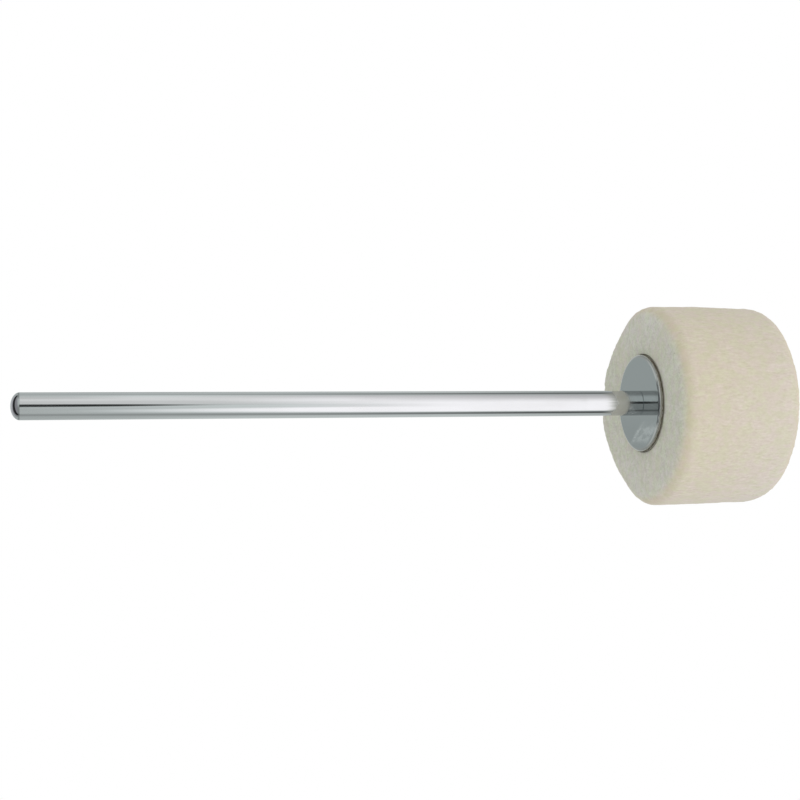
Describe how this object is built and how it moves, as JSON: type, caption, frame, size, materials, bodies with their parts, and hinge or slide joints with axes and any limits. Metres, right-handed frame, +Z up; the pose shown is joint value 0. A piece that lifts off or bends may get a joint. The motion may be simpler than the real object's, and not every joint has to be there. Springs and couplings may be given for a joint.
{
  "type": "bass drum beater",
  "caption": "Bass drum pedal beater: a round cream wool-felt head clamped between large washers on the threaded stud of a straight chrome-plated rod.",
  "frame": {"origin": "middle of the rod's rounded free tip", "axes": "+Z up along the rod from its free tip to the head; X and Y are alike on this round part, with the nut's first corner and the spring washer's slit towards +X"},
  "size_m": [0.064, 0.064, 0.246],
  "materials": {
    "chromed_rod": "polished chrome plate",
    "plated_washer": "polished plate with fine handling scratches",
    "wool_felt": "hard pressed wool felt, fine fibres along the rod on the round side",
    "zinc_hardware": "bright zinc plate"
  },
  "bodies": {
    "shank": {"shank_rod": "chromed_rod", "lower_washer": "plated_washer"},
    "head": {"felt_head": "wool_felt", "upper_washer": "plated_washer"},
    "spring": {"lock_washer": "zinc_hardware"},
    "nut": {"top_nut": "zinc_hardware"}
  },
  "joints": [
    {"name": "head_turn", "type": "hinge", "parent": "shank", "child": "head", "pos_m": [0, 0, 0.2159], "axis": [0, 0, 1], "continuous": true},
    {"name": "nut_rise", "type": "slide", "parent": "shank", "child": "spring", "axis": [0, 0, 1], "range_m": [0, 0.002]},
    {"name": "nut_spin", "type": "hinge", "parent": "spring", "child": "nut", "pos_m": [0, 0, 0.2415], "axis": [0, 0, 1], "range_deg": [0, 720]}
  ],
  "couplings": [
    {"joint": "nut_spin", "follows": "nut_rise", "rad_per_m": 6283.2}
  ]
}
